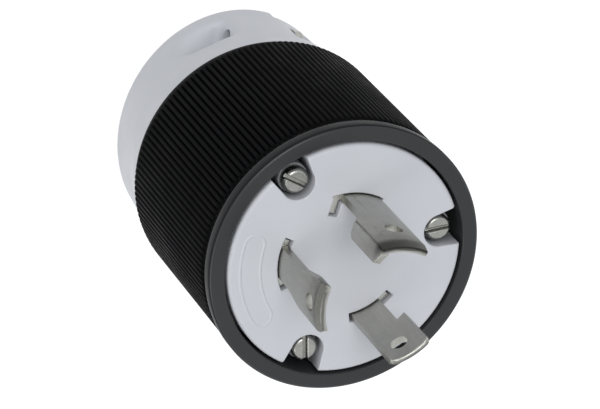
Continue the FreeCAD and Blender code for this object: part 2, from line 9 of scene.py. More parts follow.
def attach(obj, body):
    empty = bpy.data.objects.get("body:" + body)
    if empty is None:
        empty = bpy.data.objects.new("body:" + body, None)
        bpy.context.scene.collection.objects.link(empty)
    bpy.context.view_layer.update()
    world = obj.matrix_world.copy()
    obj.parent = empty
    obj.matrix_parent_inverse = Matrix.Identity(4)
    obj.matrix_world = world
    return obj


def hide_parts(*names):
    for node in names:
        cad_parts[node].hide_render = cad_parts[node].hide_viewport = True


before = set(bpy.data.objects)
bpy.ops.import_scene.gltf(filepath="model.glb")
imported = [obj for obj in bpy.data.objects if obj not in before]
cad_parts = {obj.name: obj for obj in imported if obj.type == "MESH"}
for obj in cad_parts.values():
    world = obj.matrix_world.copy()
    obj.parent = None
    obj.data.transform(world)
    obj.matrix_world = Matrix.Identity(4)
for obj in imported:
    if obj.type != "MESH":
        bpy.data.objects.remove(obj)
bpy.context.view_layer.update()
scene = bpy.context.scene
mm = 0.001   # the sizes below are in millimetres, the meshes in metres


# Camera: the spot and turn were fitted to the rims of the ring and the cap.

cameraPlace = {
    "spot": (0.41373, 0.0, 0.69291),                  # metres
    "turn": (-1.06229286, 2.37980070, 0.308753814),   # axis times angle, world to camera
    "lens": 228.0,
    "sensor": 36.0,
    "clip": (0.05, 20.0),                             # metres
}


def makeCamera():
    axis = Vector(cameraPlace["turn"])
    toCamera = Matrix.Rotation(axis.length, 3, axis.normalized())
    right, down, ahead = toCamera
    data = bpy.data.cameras.new("camera")
    data.lens = cameraPlace["lens"]
    data.sensor_width = cameraPlace["sensor"]
    data.clip_start, data.clip_end = cameraPlace["clip"]
    camera = bpy.data.objects.new("camera", data)
    turn = Matrix((right, -down, -ahead)).transposed()
    camera.matrix_world = Matrix.Translation(cameraPlace["spot"]) @ turn.to_4x4()
    scene.collection.objects.link(camera)
    scene.camera = camera


makeCamera()
print("camera made")


# Nodes

def feed(tree, socket, value):
    # an input is linked where the value is another node's output, and set where it is a number
    if hasattr(value, "is_linked"):
        tree.links.new(value, socket)
    else:
        socket.default_value = value


def mathOf(tree, operation, first, second):
    node = tree.nodes.new("ShaderNodeMath")
    node.operation = operation
    feed(tree, node.inputs[0], first)
    feed(tree, node.inputs[1], second)
    return node.outputs[0]


# Studio: pale surroundings and two soft lamps, one beside the plug and one near the camera.

studio = {
    "surround": 0.59,                                # strength that lights the plug
    "backdrop": 1.0,                                 # strength that shows behind it
    "surroundColour": (0.97, 0.985, 1.0, 1.0),
    "floorColour": (0.58, 0.58, 0.58, 1.0),
    "floorGlow": 0.72,
    "floorRoughness": 0.9,
    "floorSpecular": 0.1,
    "floorHalf": 2.5,                                # metres
    "aim": (0, 0, 0.05),                             # where the lamps point
    "lamps": {
        "keyLamp": {"at": (0.20, 1.00, 0.60), "size": 0.55, "watts": 2.4},
        "faceLamp": {"at": (0.60, -0.20, 1.15), "size": 0.60, "watts": 4.7},
    },
}


def seenDirectly(tree):
    # 1 where the ray comes from the camera, a mirror or a glass, else 0
    path = tree.nodes.new("ShaderNodeLightPath").outputs
    mirrored = mathOf(tree, "MAXIMUM", path["Is Camera Ray"], path["Is Glossy Ray"])
    return mathOf(tree, "MAXIMUM", mirrored, path["Is Transmission Ray"])


def makeStudio():
    world = bpy.data.worlds.new("studio")
    scene.world = world
    world.use_nodes = True
    tree = world.node_tree
    background = tree.nodes["Background"]
    background.inputs["Color"].default_value = studio["surroundColour"]
    strength = tree.nodes.new("ShaderNodeMapRange")
    strength.inputs["To Min"].default_value = studio["surround"]
    strength.inputs["To Max"].default_value = studio["backdrop"]
    tree.links.new(seenDirectly(tree), strength.inputs["Value"])
    tree.links.new(strength.outputs["Result"], background.inputs["Strength"])

    half = studio["floorHalf"]
    mesh = bpy.data.meshes.new("floor")
    corners = [(-half, -half, 0), (half, -half, 0), (half, half, 0), (-half, half, 0)]
    mesh.from_pydata(corners, [], [(0, 1, 2, 3)])
    floor = bpy.data.objects.new("floor", mesh)
    scene.collection.objects.link(floor)
    paper = bpy.data.materials.new("paper")
    paper.use_nodes = True
    tree = paper.node_tree
    shader = tree.nodes["Principled BSDF"]
    shader.inputs["Base Color"].default_value = studio["floorColour"]
    shader.inputs["Roughness"].default_value = studio["floorRoughness"]
    shader.inputs["Specular IOR Level"].default_value = studio["floorSpecular"]
    shader.inputs["Emission Color"].default_value = (1, 1, 1, 1)
    glow = mathOf(tree, "MULTIPLY", seenDirectly(tree), studio["floorGlow"])
    tree.links.new(glow, shader.inputs["Emission Strength"])
    mesh.materials.append(paper)

    aim = Vector(studio["aim"])
    for name, lamp in studio["lamps"].items():
        data = bpy.data.lights.new(name, "AREA")
        data.size = lamp["size"]
        data.energy = lamp["watts"]
        holder = bpy.data.objects.new(name, data)
        spot = Vector(lamp["at"])
        turn = (aim - spot).to_track_quat("-Z", "Y").to_matrix().to_4x4()
        holder.matrix_world = Matrix.Translation(spot) @ turn
        scene.collection.objects.link(holder)

    scene.view_settings.view_transform = "Standard"


makeStudio()
print("studio made")


# Shared effects, as node groups with named inputs and outputs.

def newGroup(name, numbersIn, valuesOut):
    group = bpy.data.node_groups.new(name, "ShaderNodeTree")
    group.interface.new_socket("Coordinates", in_out="INPUT", socket_type="NodeSocketVector")
    group.interface.new_socket("Colour", in_out="INPUT", socket_type="NodeSocketColor")
    for title, usual in numbersIn.items():
        socket = group.interface.new_socket(title, in_out="INPUT", socket_type="NodeSocketFloat")
        socket.default_value = usual
    group.interface.new_socket("Colour", in_out="OUTPUT", socket_type="NodeSocketColor")
    for title in valuesOut:
        group.interface.new_socket(title, in_out="OUTPUT", socket_type="NodeSocketFloat")
    start = group.nodes.new("NodeGroupInput")
    end = group.nodes.new("NodeGroupOutput")
    return group, start, end


def noise(group, vector, scale, detail=3.0, rough=0.55):
    node = group.nodes.new("ShaderNodeTexNoise")
    node.inputs["Detail"].default_value = detail
    node.inputs["Roughness"].default_value = rough
    group.links.new(vector, node.inputs["Vector"])
    feed(group, node.inputs["Scale"], scale)
    return node.outputs["Fac"]


def spread(group, value, low, high):
    # takes a noise from its usual 0.3 to 0.7 out to two limits
    node = group.nodes.new("ShaderNodeMapRange")
    limits = {"From Min": 0.3, "From Max": 0.7, "To Min": low, "To Max": high}
    for title, limit in limits.items():
        node.inputs[title].default_value = limit
    group.links.new(value, node.inputs["Value"])
    return node.outputs["Result"]


def shade(group, colour, amount):
    # multiplies a colour by a grey value
    node = group.nodes.new("ShaderNodeVectorMath")
    node.operation = "SCALE"
    group.links.new(colour, node.inputs[0])
    group.links.new(amount, node.inputs["Scale"])
    return node.outputs[0]


def darkened(group, start, tone):
    # a tone taken down where the piece's own "shadow" attribute says so
    loss = mathOf(group, "MULTIPLY", start.outputs["Shadow"], start.outputs["Shadow Depth"])
    return mathOf(group, "MULTIPLY", tone, mathOf(group, "SUBTRACT", 1.0, loss))


patternScale = {         # of the noises, per metre
    "cloud": 55.0,
    "patch": 140.0,
    "swell": 240.0,
    "streak": 3200.0,
    "bloom": 210.0,
    "scuff": 900.0,
}
streakStretch = (1.0, 1.0, 0.035)   # streaks run along Z, the way the strip was rolled
swellShare = 0.6                    # of the swell in the moulded relief, beside the grain


def makeMouldedGroup():
    # Moulded plastic: cloudy tone, fine spark-eroded grain, soft dull patches, and painted shade
    # in wells and grooves where the piece's shadow attribute says.
    group, start, end = newGroup(
        "mouldedPlastic",
        {"Shadow": 0.0, "Shadow Depth": 0.0, "Cloud": 0.04, "Gloss": 0.4,
         "Dull Patches": 0.08, "Grain Scale": 2600.0},
        ["Roughness", "Height"],
    )
    where = start.outputs["Coordinates"]
    cloud = spread(group, noise(group, where, patternScale["cloud"]), -0.5, 0.5)
    tone = mathOf(group, "ADD", mathOf(group, "MULTIPLY", cloud, start.outputs["Cloud"]), 1.0)
    tone = darkened(group, start, tone)
    group.links.new(shade(group, start.outputs["Colour"], tone), end.inputs["Colour"])
    patch = spread(group, noise(group, where, patternScale["patch"], 4.0), -1.0, 1.0)
    dull = mathOf(group, "MULTIPLY", patch, start.outputs["Dull Patches"])
    group.links.new(mathOf(group, "ADD", dull, start.outputs["Gloss"]), end.inputs["Roughness"])
    grain = noise(group, where, start.outputs["Grain Scale"], 2.0)
    swell = noise(group, where, patternScale["swell"], 2.0)
    height = mathOf(group, "ADD", mathOf(group, "MULTIPLY", swell, swellShare), grain)
    group.links.new(height, end.inputs["Height"])
    return group


def makeRolledGroup():
    # Plated metal: fine streaks along the rolling direction, tarnish blooms, and scuffs, with
    # painted dark reflection where the piece's shadow attribute says.
    group, start, end = newGroup(
        "rolledMetal",
        {"Shadow": 0.0, "Shadow Depth": 0.0, "Streaks": 0.08, "Tarnish": 0.10, "Gloss": 0.3,
         "Scuffs": 0.10},
        ["Roughness", "Height"],
    )
    scale = patternScale
    where = start.outputs["Coordinates"]
    stretch = group.nodes.new("ShaderNodeMapping")
    stretch.inputs["Scale"].default_value = streakStretch
    group.links.new(where, stretch.inputs["Vector"])
    streak = spread(group, noise(group, stretch.outputs["Vector"], scale["streak"]), -1.0, 1.0)
    bloom = spread(group, noise(group, where, scale["bloom"], 4.0, 0.6), 0.0, 1.0)
    scuff = spread(group, noise(group, where, scale["scuff"], 5.0, 0.7), -0.5, 1.0)
    light = mathOf(group, "ADD", mathOf(group, "MULTIPLY", streak, start.outputs["Streaks"]), 1.0)
    darker = mathOf(group, "MULTIPLY", bloom, start.outputs["Tarnish"])
    tone = darkened(group, start, mathOf(group, "SUBTRACT", light, darker))
    group.links.new(shade(group, start.outputs["Colour"], tone), end.inputs["Colour"])
    worn = mathOf(group, "MULTIPLY", scuff, start.outputs["Scuffs"])
    group.links.new(mathOf(group, "ADD", worn, start.outputs["Gloss"]), end.inputs["Roughness"])
    group.links.new(streak, end.inputs["Height"])
    return group


effects = {"moulded": makeMouldedGroup(), "rolled": makeRolledGroup()}


def finishOf(name, effect, colour, values, bump, metallic=0.0, specular=0.5):
    material = bpy.data.materials.new(name)
    material.use_nodes = True
    tree = material.node_tree
    shader = tree.nodes["Principled BSDF"]
    shader.inputs["Metallic"].default_value = metallic
    shader.inputs["Specular IOR Level"].default_value = specular
    where = tree.nodes.new("ShaderNodeTexCoord")
    shadow = tree.nodes.new("ShaderNodeAttribute")
    shadow.attribute_name = "shadow"
    group = tree.nodes.new("ShaderNodeGroup")
    group.node_tree = effects[effect]
    tree.links.new(where.outputs["Object"], group.inputs["Coordinates"])
    tree.links.new(shadow.outputs["Fac"], group.inputs["Shadow"])
    group.inputs["Colour"].default_value = (*colour, 1.0)
    for title, value in values.items():
        group.inputs[title].default_value = value
    tree.links.new(group.outputs["Colour"], shader.inputs["Base Color"])
    tree.links.new(group.outputs["Roughness"], shader.inputs["Roughness"])
    relief = tree.nodes.new("ShaderNodeBump")
    relief.inputs["Strength"].default_value = bump[0]
    relief.inputs["Distance"].default_value = bump[1] * mm
    tree.links.new(group.outputs["Height"], relief.inputs["Height"])
    tree.links.new(relief.outputs["Normal"], shader.inputs["Normal"])
    return material


finishes = {
    "whiteNylon": finishOf(
        "whiteNylon", "moulded", (0.625, 0.64, 0.68),
        {"Shadow Depth": 0.62, "Cloud": 0.05, "Gloss": 0.38, "Dull Patches": 0.06,
         "Grain Scale": 2400.0},
        (0.25, 0.02), specular=0.4,
    ),
    # The ring's front, the ring's side and the ribbed sleeve are one black moulding; the side and
    # the ribs take darker copies of it as painted shade.
    "ringNylon": finishOf(
        "ringNylon", "moulded", (0.032, 0.033, 0.035),
        {"Cloud": 0.12, "Gloss": 0.30, "Dull Patches": 0.06, "Grain Scale": 3000.0},
        (0.25, 0.02), specular=0.30,
    ),
    "ringSideShadeNylon": finishOf(
        "ringSideShadeNylon", "moulded", (0.016, 0.0165, 0.018),
        {"Cloud": 0.12, "Gloss": 0.40, "Dull Patches": 0.06, "Grain Scale": 3000.0},
        (0.25, 0.02), specular=0.06,
    ),
    "ribbedShadeNylon": finishOf(
        "ribbedShadeNylon", "moulded", (0.0072, 0.0074, 0.0080),
        {"Shadow Depth": 0.90, "Cloud": 0.12, "Gloss": 0.46, "Dull Patches": 0.08,
         "Grain Scale": 3000.0},
        (0.35, 0.02), specular=0.008,
    ),
    "platedBlade": finishOf(
        "platedBlade", "rolled", (0.46, 0.455, 0.42),
        {"Shadow Depth": 0.94, "Streaks": 0.05, "Tarnish": 0.12, "Gloss": 0.30, "Scuffs": 0.10},
        (0.15, 0.01), metallic=1.0,
    ),
    "platedScrew": finishOf(
        "platedScrew", "rolled", (0.40, 0.40, 0.375),
        {"Shadow Depth": 0.85, "Streaks": 0.06, "Tarnish": 0.30, "Gloss": 0.26, "Scuffs": 0.14},
        (0.2, 0.01), metallic=1.0,
    ),
    "rawBrass": finishOf(
        "rawBrass", "rolled", (0.60, 0.44, 0.19),
        {"Streaks": 0.06, "Tarnish": 0.20, "Gloss": 0.32, "Scuffs": 0.10},
        (0.2, 0.01), metallic=1.0,
    ),
}
print("finishes made")


# Meshes

def gridPiece(name, points, closedAlong=True):
    # points is rows x columns x 3 in millimetres; neighbours become quads, the last column
    # joins the first, and the last row does where the profile is closed
    rows, columns = points.shape[:2]
    number = np.arange(rows * columns).reshape(rows, columns)
    down = np.roll(number, -1, axis=0)
    across = np.roll(number, -1, axis=1)
    both = np.roll(down, -1, axis=1)
    lastRow = rows if closedAlong else rows - 1
    faces = np.stack([number, across, both, down], axis=-1)[:lastRow].reshape(-1, 4)
    mesh = bpy.data.meshes.new(name)
    mesh.vertices.add(rows * columns)
    mesh.vertices.foreach_set("co", (points * mm).astype(np.float32).ravel())
    mesh.loops.add(faces.size)
    mesh.loops.foreach_set("vertex_index", faces.astype(np.int32).ravel())
    mesh.polygons.add(len(faces))
    mesh.polygons.foreach_set("loop_start", np.arange(0, faces.size, 4, dtype=np.int32))
    mesh.update(calc_edges=True)
    mesh.validate()
    piece = bpy.data.objects.new(name, mesh)
    scene.collection.objects.link(piece)
    return piece


def smoothTo(mesh, degrees):
    mesh.polygons.foreach_set("use_smooth", np.ones(len(mesh.polygons), bool))
    mesh.set_sharp_from_angle(angle=math.radians(degrees))


def finishPiece(piece, finish, slot, *nodes):
    piece.data.materials.clear()
    piece.data.materials.append(finishes[finish])
    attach(piece, "root")
    if nodes:
        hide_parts(*nodes)


def faceOutwards(mesh, fillEnds=False):
    # turns a closed mesh's faces outwards, after its open ends are filled where asked
    work = bmesh.new()
    work.from_mesh(mesh)
    if fillEnds:
        bmesh.ops.holes_fill(work, edges=work.edges, sides=0)
    bmesh.ops.recalc_face_normals(work, faces=work.faces)
    work.to_mesh(mesh)
    work.free()


def applyModifiers(piece):
    # the piece's mesh becomes what its modifiers make of it
    graph = bpy.context.evaluated_depsgraph_get()
    shaped = bpy.data.meshes.new_from_object(piece.evaluated_get(graph))
    piece.modifiers.clear()
    piece.data = shaped


def vectorsOf(items, name):
    # one vector of every point, corner or face of a mesh, as rows of three
    values = np.empty(len(items) * 3)
    items.foreach_get(name, values)
    return values.reshape(-1, 3)


def countsOf(items, name):
    # one whole number of every corner or face of a mesh
    values = np.empty(len(items), np.int32)
    items.foreach_get(name, values)
    return values


def placesOf(mesh):
    # the mesh's points, in millimetres
    return vectorsOf(mesh.vertices, "co") / mm


def shadowOn(mesh, amount):
    # keeps how shaded each point is, from 0 to 1, for the finishes
    layer = mesh.attributes.get("shadow") or mesh.attributes.new("shadow", "FLOAT", "POINT")
    layer.data.foreach_set("value", np.clip(amount, 0, 1).astype(np.float32).ravel())


def rise(value, low, high):
    # 0 below one limit and 1 above the other, eased between them
    share = np.clip((value - low) / (high - low), 0, 1)
    return share * share * (3 - 2 * share)


def cornerArc(centre, radius, fromAngle, toAngle, count):
    # an arc of a profile: centre plus radius times the cosine and sine of each angle
    angle = np.radians(np.linspace(fromAngle, toAngle, count))
    return np.stack([centre[0] + radius * np.cos(angle), centre[1] + radius * np.sin(angle)], 1)


# Grip sleeve

sleeve = {
    "ribs": 140,
    "stepsPerRib": 10,
    "ribTop": 28.25,
    "ribDepth": 0.48,
    "crest": 0.42,        # share of the half pitch that is flat crest
    "foot": 0.92,         # share at which the groove's floor begins
    "bottom": 21.6,
    "top": 69.7,
    "rows": {"gap": 11, "edge": 18, "side": 20, "front": 25},   # of the profile, first of each
    "gapShadow": 0.9,
    "sharpFrom": 50,      # degrees
}


def makeSleeve():
    # Radius = profile radius + rib depth x rib share of the profile x crest shape of the
    # angle, where the crest shape eases from 1 on a rib to 0 in a groove. Each point of the
    # profile has a radius, a height and a share of the rib depth.
    s, rows = sleeve, sleeve["rows"]
    root = s["ribTop"] - s["ribDepth"]
    low, high = s["bottom"], s["top"]
    outside = [
        (24.8, low, 0), (27.0, low, 0), (27.22, low + 0.06, 0), (27.34, low + 0.24, 0),
        (27.5, low + 0.9, 0), (root - 0.1, low + 1.5, 0.35), (root, low + 2.1, 0.75),
        (root, low + 2.9, 1.0), (root, high - 5.8, 1.0), (root, high - 5.2, 0.85),
        (root, high - 4.85, 0.45), (root, high - 4.7, 0.0), (root + 0.05, high - 4.58, 0),
        (27.95, high - 4.45, 0), (27.97, high - 3.9, 0), (27.97, high - 3.1, 0),
        (28.02, high - 2.93, 0), (28.15, high - 2.82, 0), (28.33, high - 2.76, 0),
        (28.45, high - 2.66, 0), (28.5, high - 2.48, 0), (28.5, high - 1.1, 0),
    ]
    rim = cornerArc((27.7, high - 0.8), 0.8, 8, 90, 8)
    lip = cornerArc((25.65, high - 0.45), 0.45, 90, 180, 6)
    # the bore round the block, the ledge under it, and the bore round the cap's spigot
    inside = [(25.2, 42.5), (23.2, 42.5), (23.2, 40.7), (24.8, 38.7)]
    plain = np.concatenate([rim, lip, np.array(inside)])
    profile = np.concatenate([np.array(outside), np.c_[plain, np.zeros(len(plain))]])
    count = s["ribs"] * s["stepsPerRib"]
    turn = np.linspace(0, 2 * np.pi, count, endpoint=False)
    place = np.abs((turn * s["ribs"] / (2 * np.pi)) % 1 - 0.5) * 2
    crest = 1 - rise(place, s["crest"], s["foot"])
    radius = profile[:, :1] + profile[:, 2:] * s["ribDepth"] * crest[None, :]
    height = np.repeat(profile[:, 1:2], count, axis=1)
    points = np.stack([radius * np.cos(turn), radius * np.sin(turn), height], axis=-1)
    piece = gridPiece("ribbedSleeve", points)
    smoothTo(piece.data, s["sharpFrom"])
    # the grooves between the ribs and the gap before the ring get painted shade through the
    # shadow attribute
    row = np.arange(len(profile))
    gap = ((row >= rows["gap"]) & (row < rows["edge"])) * s["gapShadow"]
    shadowOn(piece.data, profile[:, 2:] * (1 - crest)[None, :] + gap[:, None])
    finishPiece(piece, "ribbedShadeNylon", "black_nylon", "grip_sleeve")
    piece.data.materials.append(finishes["ringNylon"])
    piece.data.materials.append(finishes["ringSideShadeNylon"])
    # the side rows take the darker copy as painted shade, and the edge rows take the lighter copy
    # as a painted highlight line
    onSide = (row >= rows["side"]) & (row < rows["front"])
    finish = np.where(row < rows["edge"], 0, np.where(onSide, 2, 1))
    piece.data.polygons.foreach_set("material_index", np.repeat(finish, count).astype(np.int32))


makeSleeve()
print("sleeve made")


# Rear housing, with soft-lipped scoops. Its own frame has x across the cord clamp.

housing = {
    "turn": 310.0,             # degrees about Z, from its own frame to the plug's
    "front": 21.6,
    "end": (24.3, 2.3, 1.9),        # radius, stretch along x, height
    "middle": (26.1, 0.5, 15.5),
    "frontRadius": 27.2,
    "round": 1.9,
    "bore": 12.5,
    "floor": 16.5,                  # height at which the wiring chamber begins
    "chamber": 16.5,
    "spigot": (24.5, 25.5),         # radius, height
    "bevels": (0.3, 0.25),          # of the spigot and the bore
    "scoop": {"off": 22.7, "height": 9.4, "radius": 3.75, "floor": 8.0},
    "lip": 2.2,                # how soft the scoop's lip is
    "corner": 1.6,             # how soft the scoop's inner corner is
    "search": (16.8, 1.0, 26),      # innermost radius, margin past the oval, halvings
    "clampRoom": ((-40, -40, -5), (40, -4.0, 14.5)),   # corners of the saddle's space
    "thread": (1.8, -6.0, 9.5),     # radius, and y at its two ends
    "screws": (120.0, 240.5, 351.5),
    "screwCircle": 20.5,
    "insert": (2.9, 18.5),          # radius, height of its seat
    "tip": (2.05, 17.0),            # radius, height of the room for the screw's tip
    "pocketTop": 26.5,
    "columns": 640,
    "arcRows": 9,                   # round the rear edge, then from, to and count above it
    "rows": ((2.6, 4.6, 3), (5.0, 14.0, 64), (14.4, 21.6, 12)),
    "sharpFrom": 38,                # degrees
}

# Columns stand closer together where the cosine of their angle is near a scoop's.
columnSpread = {"cosine": 0.83, "half": 0.14, "extra": 4.5, "blur": 60, "samples": 7200}


def softMax(first, second, width):
    # the larger of two values, blended over a width
    blend = np.maximum(width - np.abs(first - second), 0) / width
    return np.maximum(first, second) + blend * blend * width / 4


def ovalRadius(turn, height):
    # Polar radius of an ellipse whose half axes run straight from the rear end to the middle
    # and on to the front, and fall along a quarter circle at the rear edge.
    h = housing
    spots = np.array([h["end"][2], h["middle"][2], h["front"]])
    radius = np.interp(height, spots, [h["end"][0], h["middle"][0], h["frontRadius"]])
    stretch = np.interp(height, spots, [h["end"][1], h["middle"][1], 0.0])
    low = np.clip(1 - height / h["round"], 0, 1)
    radius = radius - h["round"] * (1 - np.sqrt(1 - low * low))
    along, across = radius + stretch, radius
    return along * across / np.hypot(across * np.cos(turn), along * np.sin(turn))


def scoopedRadius(turn, height):
    # On each ray from the axis, halving steps find where the oval, less the scoops, ends. A
    # scoop is the space beyond its floor and within its radius of a line along y.
    h, s = housing, housing["scoop"]
    outer = ovalRadius(turn, height)
    inmost, margin, halvings = h["search"]
    low, high = np.full_like(outer, inmost), outer + margin
    for step in range(halvings):
        radius = (low + high) / 2
        x, y = radius * np.cos(turn), radius * np.sin(turn)
        wall = np.hypot(np.abs(x) - s["off"], height - s["height"]) - s["radius"]
        scoop = softMax(wall, s["floor"] - y, h["corner"])
        outside = softMax(radius - outer, -scoop, h["lip"]) > 0
        high = np.where(outside, radius, high)
        low = np.where(outside, low, radius)
    return high


def columnAngles():
    # Even steps of the running sum of a density, which rises from 1 to its extra over each
    # scoop, become angles.
    c, count = columnSpread, housing["columns"]
    fine = np.linspace(0, 2 * np.pi, c["samples"])
    onScoop = (np.abs(np.abs(np.cos(fine)) - c["cosine"]) < c["half"]) & (np.sin(fine) > 0)
    near = np.convolve(onScoop, np.ones(c["blur"]) / c["blur"], "same")
    share = np.cumsum(1 + c["extra"] * rise(near, 0.0, 1.0))
    share = (share - share[0]) / (share[-1] - share[0])
    return np.interp(np.arange(count) / count, share, fine)


def lathed(name, profile, place, count=48):
    # a profile of radii and heights carried round a line up through a place, with its ends
    # closed
    profile = np.array(profile)
    turn = np.linspace(0, 2 * np.pi, count, endpoint=False)
    points = np.stack([
        place[0] + profile[:, :1] * np.cos(turn), place[1] + profile[:, :1] * np.sin(turn),
        np.repeat(profile[:, 1:], count, axis=1)], axis=-1)
    piece = gridPiece(name, points, closedAlong=False)
    faceOutwards(piece.data, fillEnds=True)
    return piece


def cutWith(piece, cutter):
    # takes a cutter's space out of a piece, and the cutter out of the scene
    cut = piece.modifiers.new("cut", "BOOLEAN")
    cut.operation = "DIFFERENCE"
    cut.solver = "EXACT"
    cut.object = cutter
    applyModifiers(piece)
    bpy.data.objects.remove(cutter)


def boxBetween(name, low, high, turn):
    # a box between two corners, in millimetres, turned by a matrix
    low, high = Vector(low) * mm, Vector(high) * mm
    place = Matrix.Translation((low + high) / 2) @ Matrix.Diagonal((*(high - low), 1))
    work = bmesh.new()
    bmesh.ops.create_cube(work, size=1.0, matrix=turn @ place)
    mesh = bpy.data.meshes.new(name)
    work.to_mesh(mesh)
    work.free()
    box = bpy.data.objects.new(name, mesh)
    scene.collection.objects.link(box)
    return box


def housingShell():
    # Rows of the scooped oval from the rear edge to the front, then the spigot's outside, the
    # wiring chamber and the bore back down to the rear.
    h = housing
    turn = columnAngles()
    arc = h["round"] * (1 - np.cos(np.radians(np.linspace(0, 90, h["arcRows"]))))
    heights = np.concatenate([arc, *(np.linspace(*rows) for rows in h["rows"])])
    outer = scoopedRadius(turn[None, :], heights[:, None])
    neck, top = h["spigot"]
    neckBevel, boreBevel = h["bevels"]
    inside = np.array([
        (neck, h["front"]), (neck, top - neckBevel), (neck - neckBevel, top),
        (h["chamber"], top), (h["chamber"], h["floor"]), (h["bore"], h["floor"]),
        (h["bore"], boreBevel), (h["bore"] + boreBevel, 0.0),
    ])
    radius = np.concatenate([outer, np.repeat(inside[:, :1], h["columns"], axis=1)])
    height = np.concatenate([heights, inside[:, 1]])[:, None]
    around = turn + math.radians(h["turn"])
    points = np.stack([radius * np.cos(around), radius * np.sin(around),
                       np.repeat(height, h["columns"], axis=1)], axis=-1)
    piece = gridPiece("rearHousing", points)
    faceOutwards(piece.data)
    return piece


def makeHousing():
    # The shell, less the saddle's space, a stepped pocket for each insert and the two clamp
    # screws' thread holes.
    h, scoop = housing, housing["scoop"]
    piece = housingShell()
    own = Matrix.Rotation(math.radians(h["turn"]), 4, "Z")
    cutWith(piece, boxBetween("clampRoom", *h["clampRoom"], own))
    tip, bottom = h["tip"]
    wide, seat = h["insert"]
    pocket = [(tip, bottom), (tip, seat), (wide, seat), (wide, h["pocketTop"])]
    for angle in np.radians(h["screws"]):
        spot = h["screwCircle"] * np.cos(angle), h["screwCircle"] * np.sin(angle)
        cutWith(piece, lathed("insertPocket", pocket, spot))
    radius, start, end = h["thread"]
    for side in (-1, 1):
        cutter = lathed("clampThread", [(radius, start), (radius, end)], (0, 0))
        lay = Matrix.Translation(Vector((side * scoop["off"], 0, scoop["height"])) * mm)
        cutter.data.transform(own @ lay @ Matrix.Rotation(math.radians(-90), 4, "X"))
        cutWith(piece, cutter)
    smoothTo(piece.data, h["sharpFrom"])
    finishPiece(piece, "whiteNylon", "white_nylon", "rear_cap")


makeHousing()
print("housing made")


# Copies of the solids, with their sharp edges broken as moulds and presses leave them.

edges = {                     # name, width of the broken edge, finish, slot
    "face_plate": ("faceDisc", 0.22, "whiteNylon", "white_nylon"),
    "terminal_block": ("innerBlock", 0.15, "whiteNylon", "white_nylon"),
    "cord_clamp": ("cordSaddle", 0.30, "whiteNylon", "white_nylon"),
    "blade_narrow": ("narrowBlade", 0.12, "platedBlade", "blade_metal"),
    "blade_wide": ("wideBlade", 0.12, "platedBlade", "blade_metal"),
    "blade_ground": ("groundBlade", 0.12, "platedBlade", "blade_metal"),
    "assembly_screw_left": ("leftScrew", 0.22, "platedScrew", "screw_steel"),
    "assembly_screw_right": ("rightScrew", 0.22, "platedScrew", "screw_steel"),
    "assembly_screw_top": ("topScrew", 0.22, "platedScrew", "screw_steel"),
}

breaking = {
    "merge": 0.002,           # points closer than this become one
    "sliver": 0.01,           # edges shorter than this go
    "flat": 0.6,              # degrees, up to which two faces become one
    "sharp": 35,              # degrees, above which an edge is broken
    "shaded": 30,             # degrees, above which an edge shades as sharp before that
    "segments": 2,
}

wells = {
    "angles": housing["screws"],
    "circle": housing["screwCircle"],
    "reach": (3.9, 5.3),      # from the screw's axis, full shadow to none
    "face": 69.7,
    "depth": (0.4, 4.5),      # below the face, no shadow to full
}


def wellShadow(places):
    # how deep a point lies in one of the screw wells, where little light gets in
    w = wells
    inWell = np.zeros(len(places))
    for angle in np.radians(w["angles"]):
        along = places[:, 0] * np.cos(angle) + places[:, 1] * np.sin(angle)
        across = -places[:, 0] * np.sin(angle) + places[:, 1] * np.cos(angle)
        off = np.hypot(np.minimum(along - w["circle"], 0), across)
        inWell = np.maximum(inWell, 1 - rise(off, *w["reach"]))
    return inWell * rise(w["face"] - places[:, 2], *w["depth"])


blades = {
    # each blade's shadow is the strength of its painted dark reflection at the lead-in
    "blade_narrow": {"top": 91.1, "shadow": 0.74, "hole": (168.2, -0.58, 86.0)},
    "blade_wide": {"top": 91.1, "shadow": 0.74, "hole": (48.2, 0.35, 86.0)},
    "blade_ground": {"top": 94.2, "shadow": 0.98, "hole": (311.0, -0.51, 86.2)},
}   # the hole by its angle about Z, its step sideways and its height

bladeShape = {
    "radii": (14.0, 12.45),                              # outer and inner side
    "radiusMargin": 0.03,
    "facing": 0.99,               # cosine up to which a face counts as looking in or out
    "holeRadius": 1.8,
    "holeMargin": 0.1,
    "lines": (0.9, 1.5, 2.1, 2.7, 3.5, 5.0, 7.0, 9.5),   # below the top, where the tone is set
    "fades": ((0.4, 3.0, 8.5), (0.6, 1.8, 3.8)),         # share, and its range below the top
    "outerSide": (12.8, 13.2),                           # radii between which the tone comes in
}


def bladeShadow(places, node):
    # painted dark reflection: a blade is darker towards the lead-in on its outer side
    down = blades[node]["top"] - places[:, 2]
    radius = np.hypot(places[:, 0], places[:, 1])
    tone = sum(share * (1 - rise(down, low, high)) for share, low, high in bladeShape["fades"])
    return tone * blades[node]["shadow"] * rise(radius, *bladeShape["outerSide"])


def markBevels(work, node):
    # sharp edges get a bevel weight, apart from the wire hole's rims, which stay crisp
    angle, step, height = blades[node]["hole"]
    aside = Vector((-math.sin(math.radians(angle)), math.cos(math.radians(angle)), 0)) / mm
    weight = work.edges.layers.float.new("bevel_weight_edge")
    for edge in work.edges:
        off = [abs(math.hypot(end.co.dot(aside) - step, end.co.z / mm - height)
                   - bladeShape["holeRadius"]) for end in edge.verts]
        sharp = edge.is_manifold and edge.calc_face_angle() > math.radians(breaking["sharp"])
        edge[weight] = float(sharp and max(off) > bladeShape["holeMargin"])


